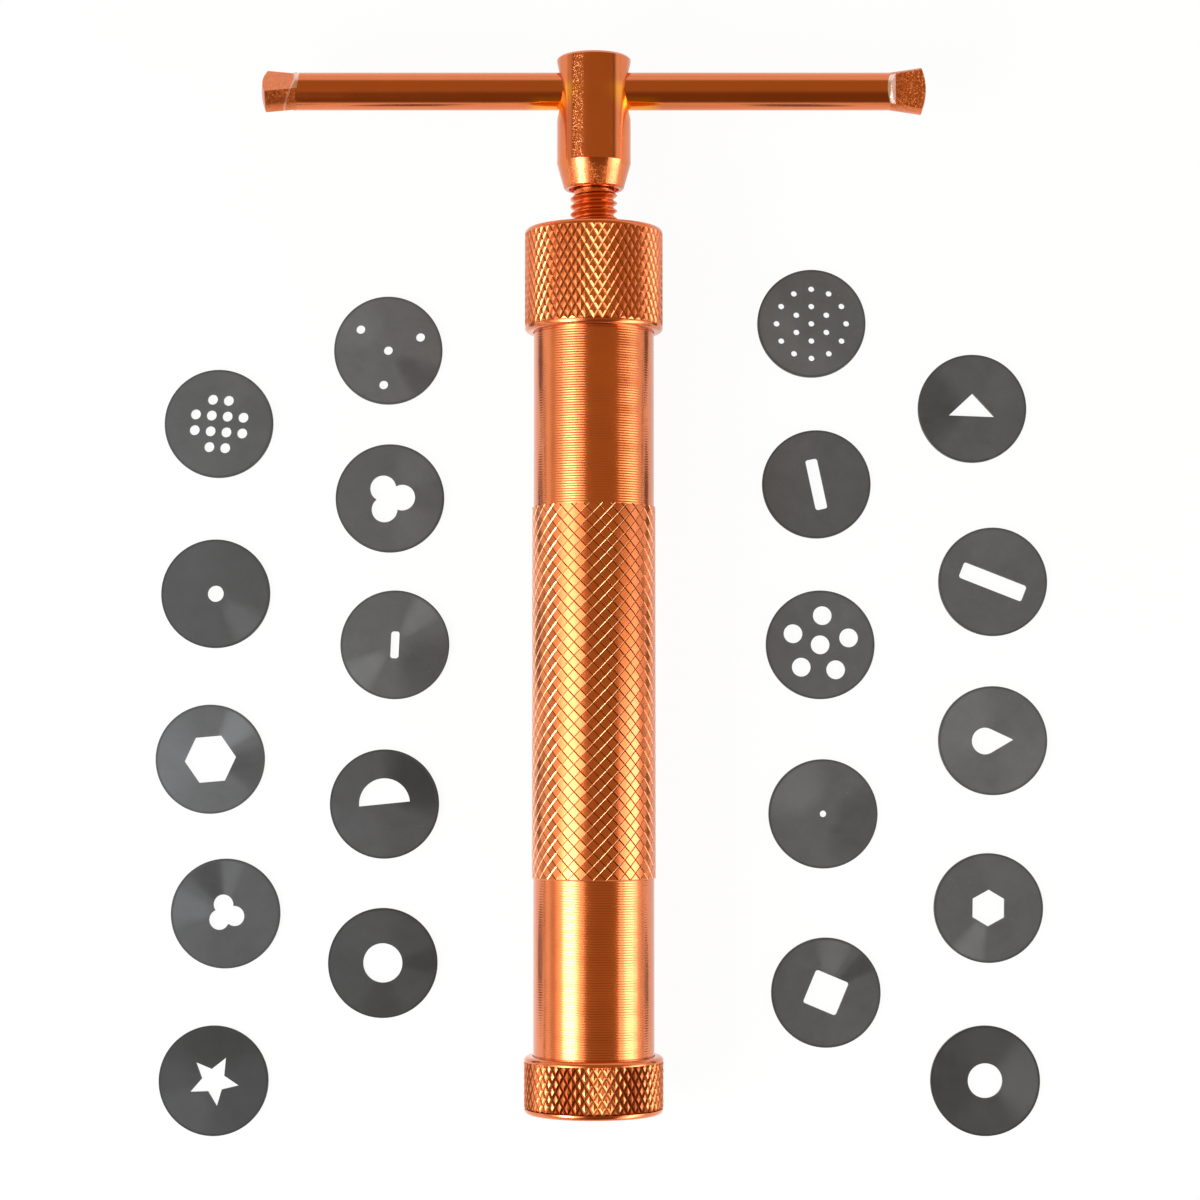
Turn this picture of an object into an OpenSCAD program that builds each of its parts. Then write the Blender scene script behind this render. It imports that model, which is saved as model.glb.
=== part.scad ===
// Pottery clay extruder: a hand tool, driven by a lead screw and a sliding T bar,
// lying on a table beside its set of twenty loose dies.
// Y is the tool's axis. Y = 0 is the face of the outlet cap, +Y runs to the handle and +Z is up.
// Lengths are in millimetres.

/* [Barrel] */
// Length of the tube from end to end
barrel_len = 149.3; // [120:0.1:200]
// Width of the rim of a seated die that the tube's end presses on
die_hold = 1; // [0.6:0.1:2.4]
// Rise of the knurled grip band over the smooth tube
grip_rise = 0.25; // [0.1:0.05:1]
// Smooth tube showing between the outlet cap and the grip band
lower_smooth_len = 31.5; // [15:0.5:40]
// Smooth tube showing between the grip band and the handle cap
upper_smooth_len = 31.7; // [15:0.5:40]
// How much the tube's ends are turned down for their threads, on the radius
thread_step = 0.25; // [0.2:0.05:0.4]
// Width of the runout groove behind a thread
relief_len = 1.5; // [1:0.1:2]
// Depth of the runout groove behind a thread
relief_depth = 0.35; // [0.2:0.05:0.5]
// Bevel on the crest at the start of a thread
thread_bevel = 0.25; // [0.1:0.05:0.3]

/* [Caps] */
// Thickness of both knurled caps round the smooth tube
cap_wall = 1.65; // [1.3:0.05:4]
// Height of the outlet cap
bottom_cap_h = 10.2; // [8:0.1:14]
// Height of the handle cap
top_cap_h = 18.8; // [14:0.1:24]
// Length of thread for the lead screw in the handle cap
nut_len = 7; // [5:0.1:9]
// Rounding of the caps' outer edges
cap_round = 0.8; // [0.4:0.1:1]
// Depth of the plain mouth that takes the tube's full diameter
mouth_depth = 1.2; // [0.8:0.1:2]
// Width of the lip that the die lies on
lip_w = 1.75; // [1:0.05:4]
// Thickness of the lip that the die lies on
lip_t = 1.5; // [1:0.1:2]
// Width of the ledge between the die's pocket and the thread
pocket_ledge = 0.6; // [0.3:0.05:1.5]

/* [Lead screw and piston] */
// Diameter over the lead screw's thread
screw_d = 8.5; // [7:0.1:10]
// Lead screw showing between the handle cap and the drive head
screw_show = 7.3; // [1:0.1:20]
// Bevel at the lower end of the lead screw
screw_bevel = 0.8; // [0.4:0.1:1]
// Diameter of the plain journal that the piston swivels on
journal_d = 5; // [4.4:0.1:6]
// How much the spigot that sits in the head is turned down, on the radius
spigot_step = 0.75; // [0.4:0.05:1.5]
// Length of that spigot
spigot_len = 9; // [5:0.1:9.6]
// Length of the piston
piston_len = 10; // [8:0.1:16]
// Clay left between a seated die and the piston when the head meets the cap
piston_reserve = 1; // [0.5:0.1:4]
// Thickness of the O ring
ring_t = 1.8; // [1.4:0.1:2.4]
// Width of the groove that holds the O ring
groove_len = 2.2; // [2:0.1:3.2]
// Diameter of the retaining washer
washer_d = 9; // [7.6:0.1:11]
// Thickness of the retaining washer
washer_t = 0.8; // [0.5:0.1:1.5]
// Thread diameter of the retaining screw
small_screw_d = 3; // [2.5:0.1:3.2]
// Length of the retaining screw under its head
small_screw_len = 8; // [5:0.5:12]
// Diameter of the retaining screw's head
small_head_d = 5.5; // [5:0.1:6.5]
// Height of the retaining screw's head
small_head_h = 1.6; // [1:0.1:2]
// How far the retaining screw's head lies below the piston's face
small_head_sunk = 0.3; // [0.1:0.1:1]

/* [Drive head and T bar] */
// Diameter of the drive head
head_d = 13.4; // [12.6:0.1:16]
// Width of the drive head's foot round the screw
head_foot_w = 0.9; // [0.5:0.1:1.4]
// Length of the drive head
head_len = 24.1; // [22:0.1:32]
// Length of the taper at the foot of the drive head
head_taper_len = 4.7; // [2:0.1:8]
// Bevel round the drive head's top
head_bevel = 0.4; // [0.2:0.1:1]
// Depth of the recess in the head's underside that the thread runs into
head_recess = 0.8; // [0.4:0.1:1.5]
// From the head's top to the middle of the T bar
bar_from_top = 6.1; // [5.8:0.1:9]
// Diameter of the countersink round each end of the cross hole
sink_d = 10.8; // [8:0.1:11]
// Depth of that countersink
sink_depth = 1.2; // [0.5:0.1:2]
// Diameter of the T bar
bar_d = 6.8; // [6:0.1:7]
// Length of the T bar
bar_len = 120.5; // [80:0.5:160]
// Length of each pinched end
pinch_len = 6.6; // [5:0.1:10]
// Thickness left between the flats of a pinched end
pinch_t = 4.4; // [3.6:0.1:5]
// Length of the spreading end before its flats begin
pinch_lead = 0.2; // [0.1:0.1:0.6]
// Length of the slope from the round bar down to a flat
pinch_slope = 0.8; // [0.4:0.1:1.6]
// Width to which a pinched end spreads
flare_d = 8.5; // [8.2:0.1:9.5]
// Rise of the domed tip
dome_rise = 0.9; // [0.4:0.1:1.2]
// Turn of the left pinched end about the bar, in degrees
left_pinch_turn = 48; // [0:1:90]

/* [Die blanks] */
// Diameter of a die
die_d = 20; // [17:0.1:24]
// Thickness of a die
die_t = 1; // [0.8:0.1:1.5]
// Bevel round a die
die_bevel = 0.1; // [0.05:0.05:0.2]
// How far a seated die stands out of its pocket, to be clamped by the tube
die_nip = 0.2; // [0.1:0.05:0.4]
// Depth of the dish in the dished die
dish_depth = 0.25; // [0.1:0.05:0.4]
// Flat rim left round the dish
dish_rim = 1.2; // [0.5:0.1:3]

/* [Round die holes] */
// Twelve hole die: hole diameter
twelve_hole_d = 1.9; // [0.8:0.1:2.4]
// Twelve hole die: spacing of its square grid
twelve_hole_pitch = 2.93; // [2.7:0.01:3.6]
// Four hole die: hole diameter
four_hole_d = 1.65; // [0.8:0.05:3]
// Nineteen hole die: hole diameter
nineteen_hole_d = 1.1; // [0.6:0.1:1.8]
// Nineteen hole die: radius of its inner ring of six
nineteen_ring_r = 3.2; // [2.8:0.1:3.6]
// Four and nineteen hole dies: radius of their outer ring
outer_ring_r = 6.43; // [5.8:0.01:7.2]
// Six hole die: hole diameter
six_hole_d = 3.47; // [2:0.01:4]
// Six hole die: radius of its ring of five
six_ring_r = 5.39; // [4.8:0.01:5.8]
// Small round die: hole diameter
small_round_d = 3; // [2:0.1:4]
// Large round die: hole diameter
large_round_d = 7.2; // [6:0.1:9]
// Pinhole die: hole diameter
pinhole_d = 1.2; // [0.6:0.1:1.8]
// Dished die: hole diameter
dished_round_d = 6.35; // [5:0.05:8]

/* [Shaped die holes] */
// Large hexagon: distance between opposite corners
large_hexagon_d = 9.56; // [7.5:0.01:11]
// Small hexagon: distance between opposite corners
small_hexagon_d = 6.74; // [5:0.01:7]
// Large trefoil: diameter of a lobe
large_lobe_d = 4.8; // [4.2:0.1:6]
// Large trefoil: from the die's middle to the middle of a lobe
large_lobe_r = 2.25; // [1.5:0.01:2.6]
// Small trefoil: diameter of a lobe
small_lobe_d = 3.7; // [3.2:0.1:4.4]
// Small trefoil: from the die's middle to the middle of a lobe
small_lobe_r = 1.67; // [1.2:0.01:2]
// Half round: diameter
half_round_d = 9.4; // [6:0.1:12]
// Star: diameter over its points
star_d = 9.5; // [7:0.1:12]
// Star: diameter of the circle through its inner corners
star_root_d = 4.38; // [3:0.01:6]
// Square: width across its sides
square_w = 6.5; // [4:0.1:8]
// Square: radius of its corners
square_corner_r = 0.5; // [0.2:0.1:1]
// Triangle: length of its long side
triangle_w = 8.5; // [6:0.1:11]
// Teardrop: diameter of its round end
teardrop_d = 4.9; // [3:0.1:6]
// Teardrop: from the middle of the round end to the tip
teardrop_reach = 5.26; // [4:0.01:7]
// Short slot: length
short_slot_len = 4.96; // [3:0.01:8]
// Short slot: width
short_slot_w = 1.58; // [1:0.01:2.5]
// Long slot: length
long_slot_len = 9.45; // [7:0.01:12]
// Long slot: width
long_slot_w = 2.25; // [1.5:0.01:3.5]
// Wide slot: length
wide_slot_len = 12.4; // [9:0.1:14]
// Wide slot: width
wide_slot_w = 3.1; // [2:0.1:5]
// Slots: radius of their corners
slot_corner_r = 0.5; // [0.2:0.05:0.5]

/* [Clearances] */
// End gap between a cap and the end of the tube
seat_gap = 0.1; // [0.05:0.05:0.3]
// Radial clearance of the caps' threads and mouths on the tube
thread_gap = 0.1; // [0.05:0.01:0.1]
// Length of the tube's full diameter left clear inside a cap's mouth
shoulder_gap = 0.2; // [0.1:0.05:0.4]
// Radial clearance of a die in its pocket
die_gap = 0.1; // [0.05:0.01:0.15]
// Radial clearance of the lead screw in the handle cap
screw_gap = 0.06; // [0.03:0.01:0.1]
// Gap left between the head and the handle cap when the screw is home
head_gap = 0.3; // [0.1:0.1:1]
// Radial clearance of the piston in the bore
piston_gap = 0.08; // [0.05:0.01:0.1]
// Radial clearance of the O ring in the bore
ring_gap = 0.03; // [0.02:0.01:0.05]
// Gap under the O ring in its groove
ring_seat_gap = 0.02; // [0.01:0.01:0.05]
// Radial clearance of the piston on its journal
journal_gap = 0.05; // [0.03:0.01:0.1]
// End float of the piston on its journal
swivel_gap = 0.1; // [0.05:0.05:0.3]
// Radial clearance round the retaining washer
washer_gap = 0.3; // [0.1:0.1:0.5]
// Radial clearance of small parts that are fixed to each other
fixed_gap = 0.02; // [0.01:0.01:0.05]
// Radial clearance of the thread in the head's recess
recess_gap = 0.3; // [0.1:0.1:0.5]
// Radial clearance of the T bar in its cross hole
bar_gap = 0.1; // [0.05:0.01:0.1]
// Small bevel that breaks the edges of bores and ends
edge_bevel = 0.3; // [0.1:0.05:0.4]

/* [Hidden] */
$fn = 96;

copper = [0.86, 0.48, 0.26];
red_copper = [0.74, 0.27, 0.10];
die_steel = [0.37, 0.37, 0.38];
zinc = [0.70, 0.71, 0.73];
rubber_black = [0.06, 0.06, 0.06];

// How far every cut runs past the faces that it opens
overrun = 1;
// Steps in a quarter round of a turned edge
round_steps = 6;
// Clear length past the end of a small screw in its tapped hole
tap_spare = 1;

// Radii from the die outward: its pocket, the threads, the smooth tube and the caps
die_r = die_d / 2;
outlet_r = die_r - lip_w;
bore_r = die_r - die_hold;
pocket_r = die_r + die_gap;
female_r = pocket_r + pocket_ledge;
male_r = female_r - thread_gap;
barrel_r = male_r + thread_step;
grip_r = barrel_r + grip_rise;
mouth_r = barrel_r + thread_gap;
cap_r = barrel_r + cap_wall;

// Levels along the tool's axis, from the outlet face up
seat_y = lip_t + die_t - die_nip;
barrel_y0 = seat_y + seat_gap;
barrel_y1 = barrel_y0 + barrel_len;
nut_y0 = barrel_y1 + seat_gap;
top_cap_y1 = nut_y0 + nut_len;
top_cap_y0 = top_cap_y1 - top_cap_h;
lower_shoulder_y = bottom_cap_h - mouth_depth + shoulder_gap;
upper_shoulder_y = top_cap_y0 + mouth_depth - shoulder_gap;
grip_y0 = bottom_cap_h + lower_smooth_len;
grip_y1 = top_cap_y0 - upper_smooth_len;
head_y0 = top_cap_y1 + screw_show;
head_y1 = head_y0 + head_len;
bar_y = head_y1 - bar_from_top;

screw_r = screw_d / 2;
screw_hole_r = screw_r + screw_gap;
journal_r = journal_d / 2;
journal_hole_r = journal_r + journal_gap;
piston_r = bore_r - piston_gap;
ring_outer_r = bore_r - ring_gap;
groove_r = ring_outer_r - ring_t - ring_seat_gap;
piston_recess_r = washer_d / 2 + washer_gap;
piston_recess = washer_t + small_head_h + small_head_sunk + swivel_gap;
piston_y0 = lip_t + die_t + piston_reserve + screw_show - head_gap;
piston_y1 = piston_y0 + piston_len;
groove_mid_y = piston_y0 + piston_len / 2;
journal_y0 = piston_y0 + piston_recess - swivel_gap;
washer_y0 = journal_y0 - washer_t;
screw_y0 = piston_y1 + swivel_gap;
screw_y1 = head_y0 + head_recess;
spigot_r = screw_r - spigot_step;
spigot_y1 = screw_y1 + spigot_len;
tap_r = small_screw_d / 2 + fixed_gap;
tap_y1 = washer_y0 + small_screw_len + tap_spare;

head_r = head_d / 2;
head_bore_r = screw_r + recess_gap;
head_foot_r = head_bore_r + head_foot_w;
cross_hole_r = bar_d / 2 + bar_gap;
sink_slope = (sink_d / 2 - cross_hole_r) / sink_depth;
bar_r = bar_d / 2;
flare_r = flare_d / 2;
spread_x0 = bar_len / 2 - pinch_len;
flat_x0 = spread_x0 + pinch_lead + pinch_slope;
pinch_depth = bar_r - pinch_t / 2;
dome_r = (flare_r * flare_r + dome_rise * dome_rise) / (2 * dome_rise);
dome_edge_angle = acos(flare_r / dome_r);

table_z = -cap_r;

// Where each die lies on the table, as [x, y] shares of a die's diameter
twelve_hole_place_share = [-3.46, 6.24];
small_round_place_share = [-3.48, 4.67];
large_hexagon_place_share = [-3.52, 3.15];
small_trefoil_place_share = [-3.37, 1.74];
star_place_share = [-3.47, 0.22];
four_hole_place_share = [-1.90, 6.92];
large_trefoil_place_share = [-1.88, 5.55];
short_slot_place_share = [-1.83, 4.20];
half_round_place_share = [-1.92, 2.74];
large_round_place_share = [-1.93, 1.29];
nineteen_hole_place_share = [2.01, 7.17];
long_slot_place_share = [2.05, 5.68];
six_hole_place_share = [2.08, 4.20];
pinhole_place_share = [2.10, 2.65];
square_place_share = [2.12, 1.02];
triangle_place_share = [3.49, 6.38];
wide_slot_place_share = [3.67, 4.78];
teardrop_place_share = [3.66, 3.32];
small_hexagon_place_share = [3.61, 1.79];
dished_round_place_share = [3.57, 0.22];

// How each die with a turned pattern lies, in degrees
twelve_hole_turn = -4;
large_hexagon_turn = 5;
small_trefoil_turn = -16;
star_turn = 61.6;
four_hole_turn = 22.5;
large_trefoil_turn = 4;
short_slot_turn = 87.5;
half_round_turn = 5.7;
long_slot_turn = 102;
six_hole_turn = 85.7;
square_turn = -22.7;
triangle_turn = -2.2;
wide_slot_turn = -21.5;
teardrop_turn = 2.8;
small_hexagon_turn = 89;

// Points of an arc about [x, y], from one angle to another
function arc(x, y, r, from, to) = [
    for (i = [0:round_steps])
        let (a = from + (to - from) * i / round_steps)
            [x + r * cos(a), y + r * sin(a)]
];

// Turns a profile of [radius, Y] points about the tool's axis
module turned() {
    rotate([-90, 0, 0]) rotate_extrude() children();
}

// Tube with a turned down thread seat at each end and a raised grip band
module barrel() {
    color(copper) turned() polygon(concat(
        [
            [bore_r + edge_bevel, barrel_y0],
            [male_r - thread_bevel, barrel_y0],
            [male_r, barrel_y0 + thread_bevel]
        ],
        [
            [male_r, lower_shoulder_y - relief_len],
            [male_r - relief_depth, lower_shoulder_y - relief_len + relief_depth],
            [male_r - relief_depth, lower_shoulder_y],
            [barrel_r, lower_shoulder_y]
        ],
        [
            [barrel_r, grip_y0],
            [grip_r, grip_y0 + grip_rise],
            [grip_r, grip_y1 - grip_rise],
            [barrel_r, grip_y1]
        ],
        [
            [barrel_r, upper_shoulder_y],
            [male_r - relief_depth, upper_shoulder_y],
            [male_r - relief_depth, upper_shoulder_y + relief_len - relief_depth],
            [male_r, upper_shoulder_y + relief_len]
        ],
        [
            [male_r, barrel_y1 - thread_bevel],
            [male_r - thread_bevel, barrel_y1],
            [bore_r + edge_bevel, barrel_y1],
            [bore_r, barrel_y1 - edge_bevel],
            [bore_r, barrel_y0 + edge_bevel]
        ]
    ));
}

// Ring cap with an outlet, a pocket for one die and a thread seat above it
module bottom_cap() {
    color(copper) turned() polygon(concat(
        [[outlet_r, 0]],
        arc(cap_r - cap_round, cap_round, cap_round, -90, 0),
        arc(cap_r - cap_round, bottom_cap_h - cap_round, cap_round, 0, 90),
        [
            [mouth_r, bottom_cap_h],
            [mouth_r, bottom_cap_h - mouth_depth],
            [female_r, bottom_cap_h - mouth_depth],
            [female_r, seat_y],
            [pocket_r, seat_y],
            [pocket_r, lip_t],
            [outlet_r, lip_t]
        ]
    ));
}

// Handle cap, threaded on the tube below and for the lead screw above
module top_cap() {
    color(copper) turned() polygon(concat(
        [[mouth_r, top_cap_y0]],
        arc(cap_r - cap_round, top_cap_y0 + cap_round, cap_round, -90, 0),
        arc(cap_r - cap_round, top_cap_y1 - cap_round, cap_round, 0, 90),
        [
            [screw_hole_r + edge_bevel, top_cap_y1],
            [screw_hole_r, top_cap_y1 - edge_bevel],
            [screw_hole_r, nut_y0 + edge_bevel],
            [screw_hole_r + edge_bevel, nut_y0],
            [female_r + relief_depth, nut_y0],
            [female_r + relief_depth, nut_y0 - relief_len + relief_depth],
            [female_r, nut_y0 - relief_len],
            [female_r, top_cap_y0 + mouth_depth],
            [mouth_r, top_cap_y0 + mouth_depth]
        ]
    ));
}

// Lead screw: tapped journal below, threaded length, plain spigot above
module screw_rod() {
    color(red_copper) turned() polygon([
        [tap_r, journal_y0],
        [journal_r, journal_y0],
        [journal_r, screw_y0],
        [screw_r - screw_bevel, screw_y0],
        [screw_r, screw_y0 + screw_bevel],
        [screw_r, screw_y1],
        [spigot_r, screw_y1],
        [spigot_r, spigot_y1 - edge_bevel],
        [spigot_r - edge_bevel, spigot_y1],
        [0, spigot_y1],
        [0, tap_y1 + tap_r],
        [tap_r, tap_y1]
    ]);
}

// Countersink at one end of the cross hole; it opens along +X
module cross_sink() {
    translate([head_r - sink_depth, bar_y, 0]) rotate([0, 90, 0])
        cylinder(
            h = sink_depth + overrun,
            r1 = cross_hole_r,
            r2 = cross_hole_r + sink_slope * (sink_depth + overrun)
        );
}

// Head that the T bar slides through
module drive_head() {
    color(copper) difference() {
        turned() polygon([
            [head_bore_r, head_y0],
            [head_foot_r - edge_bevel, head_y0],
            [head_foot_r, head_y0 + edge_bevel],
            [head_r, head_y0 + head_taper_len],
            [head_r, head_y1 - head_bevel],
            [head_r - head_bevel, head_y1],
            [0, head_y1],
            [0, spigot_y1 + edge_bevel],
            [spigot_r + fixed_gap, spigot_y1 + edge_bevel],
            [spigot_r + fixed_gap, screw_y1],
            [head_bore_r, screw_y1]
        ]);
        translate([0, bar_y, 0]) rotate([0, 90, 0])
            cylinder(h = head_d + 2 * overrun, r = cross_hole_r, center = true);
        cross_sink();
        mirror([1, 0, 0]) cross_sink();
    }
}

// Wedge that presses one flat into the bar's +X end, from above
module pinch_cut() {
    translate([0, flare_r + overrun, 0]) rotate([90, 0, 0])
        linear_extrude(height = flare_d + 2 * overrun)
            polygon([
                [flat_x0, pinch_t / 2],
                [bar_len / 2 + overrun, pinch_t / 2],
                [bar_len / 2 + overrun, bar_r + pinch_depth],
                [flat_x0 - 2 * pinch_slope, bar_r + pinch_depth]
            ]);
}

// Both flats of the bar's +X end
module pinch_cuts() {
    pinch_cut();
    mirror([0, 0, 1]) pinch_cut();
}

// Sliding T bar: each end spreads to a domed tip and is pinched between two flats
module tommy_bar() {
    color(copper) translate([0, bar_y, 0]) difference() {
        rotate([0, 90, 0]) rotate_extrude() polygon(concat(
            arc(0, dome_r - bar_len / 2, dome_r, -90, -dome_edge_angle),
            [[bar_r, -spread_x0], [bar_r, spread_x0]],
            arc(0, bar_len / 2 - dome_r, dome_r, dome_edge_angle, 90)
        ));
        pinch_cuts();
        rotate([-left_pinch_turn, 0, 0]) mirror([1, 0, 0]) pinch_cuts();
    }
}

// Piston with an O ring groove, and a recess for the washer and screw that hold it
module piston() {
    color(zinc) turned() polygon([
        [piston_recess_r, piston_y0],
        [piston_r - edge_bevel, piston_y0],
        [piston_r, piston_y0 + edge_bevel],
        [piston_r, groove_mid_y - groove_len / 2],
        [groove_r, groove_mid_y - groove_len / 2],
        [groove_r, groove_mid_y + groove_len / 2],
        [piston_r, groove_mid_y + groove_len / 2],
        [piston_r, piston_y1 - edge_bevel],
        [piston_r - edge_bevel, piston_y1],
        [journal_hole_r, piston_y1],
        [journal_hole_r, piston_y0 + piston_recess],
        [piston_recess_r, piston_y0 + piston_recess]
    ]);
}

// Rubber ring that wipes the bore
module piston_o_ring() {
    color(rubber_black) turned()
        translate([ring_outer_r - ring_t / 2, groove_mid_y]) circle(d = ring_t);
}

// Washer that keeps the piston on its journal
module piston_washer() {
    color(zinc) turned() polygon([
        [tap_r + fixed_gap, washer_y0],
        [washer_d / 2, washer_y0],
        [washer_d / 2, journal_y0],
        [tap_r + fixed_gap, journal_y0]
    ]);
}

// Small screw that holds the washer, in the journal's tapped hole
module piston_screw() {
    color(zinc) turned() polygon([
        [0, washer_y0 - small_head_h],
        [small_head_d / 2 - edge_bevel, washer_y0 - small_head_h],
        [small_head_d / 2, washer_y0 - small_head_h + edge_bevel],
        [small_head_d / 2, washer_y0],
        [small_screw_d / 2, washer_y0],
        [small_screw_d / 2, washer_y0 + small_screw_len - edge_bevel],
        [small_screw_d / 2 - edge_bevel, washer_y0 + small_screw_len],
        [0, washer_y0 + small_screw_len]
    ]);
}

// Puts a die on the table, at a share of its own diameter, turned by an angle
module on_table(place_share, turn = 0) {
    color(die_steel)
        translate([place_share[0] * die_d, place_share[1] * die_d, table_z])
            rotate([0, 0, turn]) children();
}

// Bevelled disc with the holes that its 2D children draw
module die_blank() {
    difference() {
        rotate_extrude() polygon([
            [0, 0],
            [die_r - die_bevel, 0],
            [die_r, die_bevel],
            [die_r, die_t - die_bevel],
            [die_r - die_bevel, die_t],
            [0, die_t]
        ]);
        translate([0, 0, -overrun]) linear_extrude(height = die_t + 2 * overrun) children();
    }
}

// Die lying on the table with the holes that its 2D children draw
module loose_die(place_share, turn = 0) {
    on_table(place_share, turn) die_blank() children();
}

// Evenly spaced holes on a ring
module hole_ring(count, ring_r, hole_d, start = 0) {
    for (i = [0:count - 1]) rotate(start + i * 360 / count)
        translate([ring_r, 0]) circle(d = hole_d);
}

// Rectangle with round corners, longer along X
module round_corner_box(w, h, corner_r) {
    square([w - 2 * corner_r, h], center = true);
    square([w, h - 2 * corner_r], center = true);
    for (sx = [-1, 1], sy = [-1, 1])
        translate([sx * (w / 2 - corner_r), sy * (h / 2 - corner_r)]) circle(r = corner_r);
}

// Hexagon with a corner on X
module hexagon(corner_d) {
    polygon([for (i = [0:5]) corner_d / 2 * [cos(i * 60), sin(i * 60)]]);
}

// Three lobes that meet in the middle
module trefoil(lobe_d, lobe_r) {
    hole_ring(3, lobe_r, lobe_d);
}

module die_twelve_hole() {
    row_counts = [2, 4, 4, 2];
    loose_die(twelve_hole_place_share, twelve_hole_turn)
        for (row = [0:3], i = [0:row_counts[row] - 1])
            translate([
                (i - (row_counts[row] - 1) / 2) * twelve_hole_pitch,
                (row - 3 / 2) * twelve_hole_pitch
            ])
                circle(d = twelve_hole_d);
}

module die_small_round() {
    loose_die(small_round_place_share) circle(d = small_round_d);
}

module die_large_hexagon() {
    loose_die(large_hexagon_place_share, large_hexagon_turn) hexagon(large_hexagon_d);
}

module die_small_trefoil() {
    loose_die(small_trefoil_place_share, small_trefoil_turn) trefoil(small_lobe_d, small_lobe_r);
}

module die_star() {
    loose_die(star_place_share, star_turn)
        polygon([
            for (i = [0:9])
                (i % 2 == 0 ? star_d : star_root_d) / 2 * [cos(i * 36), sin(i * 36)]
        ]);
}

module die_four_hole() {
    loose_die(four_hole_place_share, four_hole_turn) {
        circle(d = four_hole_d);
        hole_ring(3, outer_ring_r, four_hole_d);
    }
}

module die_large_trefoil() {
    loose_die(large_trefoil_place_share, large_trefoil_turn) trefoil(large_lobe_d, large_lobe_r);
}

module die_short_slot() {
    loose_die(short_slot_place_share, short_slot_turn)
        round_corner_box(short_slot_len, short_slot_w, slot_corner_r);
}

module die_half_round() {
    loose_die(half_round_place_share, half_round_turn)
        intersection() {
            circle(d = half_round_d);
            translate([-half_round_d, 0]) square([2 * half_round_d, half_round_d]);
        }
}

module die_large_round() {
    loose_die(large_round_place_share) circle(d = large_round_d);
}

module die_nineteen_hole() {
    loose_die(nineteen_hole_place_share) {
        circle(d = nineteen_hole_d);
        hole_ring(6, nineteen_ring_r, nineteen_hole_d, 30);
        hole_ring(12, outer_ring_r, nineteen_hole_d);
    }
}

module die_long_slot() {
    loose_die(long_slot_place_share, long_slot_turn)
        round_corner_box(long_slot_len, long_slot_w, slot_corner_r);
}

module die_six_hole() {
    loose_die(six_hole_place_share, six_hole_turn) {
        circle(d = six_hole_d);
        hole_ring(5, six_ring_r, six_hole_d);
    }
}

module die_pinhole() {
    loose_die(pinhole_place_share) circle(d = pinhole_d);
}

module die_square() {
    loose_die(square_place_share, square_turn)
        round_corner_box(square_w, square_w, square_corner_r);
}

// Right triangle with two equal sides, its long side down, centred by area
module die_triangle() {
    loose_die(triangle_place_share, triangle_turn)
        polygon([
            [-triangle_w / 2, -triangle_w / 6],
            [triangle_w / 2, -triangle_w / 6],
            [0, triangle_w / 3]
        ]);
}

module die_wide_slot() {
    loose_die(wide_slot_place_share, wide_slot_turn)
        round_corner_box(wide_slot_len, wide_slot_w, slot_corner_r);
}

// Round end and two straight sides that touch it and meet at a tip
module die_teardrop() {
    touch = acos(teardrop_d / 2 / teardrop_reach);
    loose_die(teardrop_place_share, teardrop_turn)
        translate([(teardrop_d / 2 - teardrop_reach) / 2, 0]) {
            circle(d = teardrop_d);
            polygon([
                [0, 0],
                teardrop_d / 2 * [cos(touch), -sin(touch)],
                [teardrop_reach, 0],
                teardrop_d / 2 * [cos(touch), sin(touch)]
            ]);
        }
}

module die_small_hexagon() {
    loose_die(small_hexagon_place_share, small_hexagon_turn) hexagon(small_hexagon_d);
}

// Round die with a shallow dish turned into its upper face
module die_dished_round() {
    hole_r = dished_round_d / 2;
    dish_r = die_r - dish_rim;
    on_table(dished_round_place_share) difference() {
        die_blank() circle(r = hole_r);
        translate([0, 0, die_t - dish_depth])
            cylinder(h = 2 * dish_depth, r1 = hole_r, r2 = 2 * dish_r - hole_r);
    }
}

barrel();
top_cap();
bottom_cap();
screw_rod();
drive_head();
tommy_bar();
piston();
piston_o_ring();
piston_washer();
piston_screw();
die_twelve_hole();
die_small_round();
die_large_hexagon();
die_small_trefoil();
die_star();
die_four_hole();
die_large_trefoil();
die_short_slot();
die_half_round();
die_large_round();
die_nineteen_hole();
die_long_slot();
die_six_hole();
die_pinhole();
die_square();
die_triangle();
die_wide_slot();
die_teardrop();
die_small_hexagon();
die_dished_round();
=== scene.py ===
"""A hand screw extruder for clay, with its T bar and twenty loose dies, dressed on its CAD frame."""
import math

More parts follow.
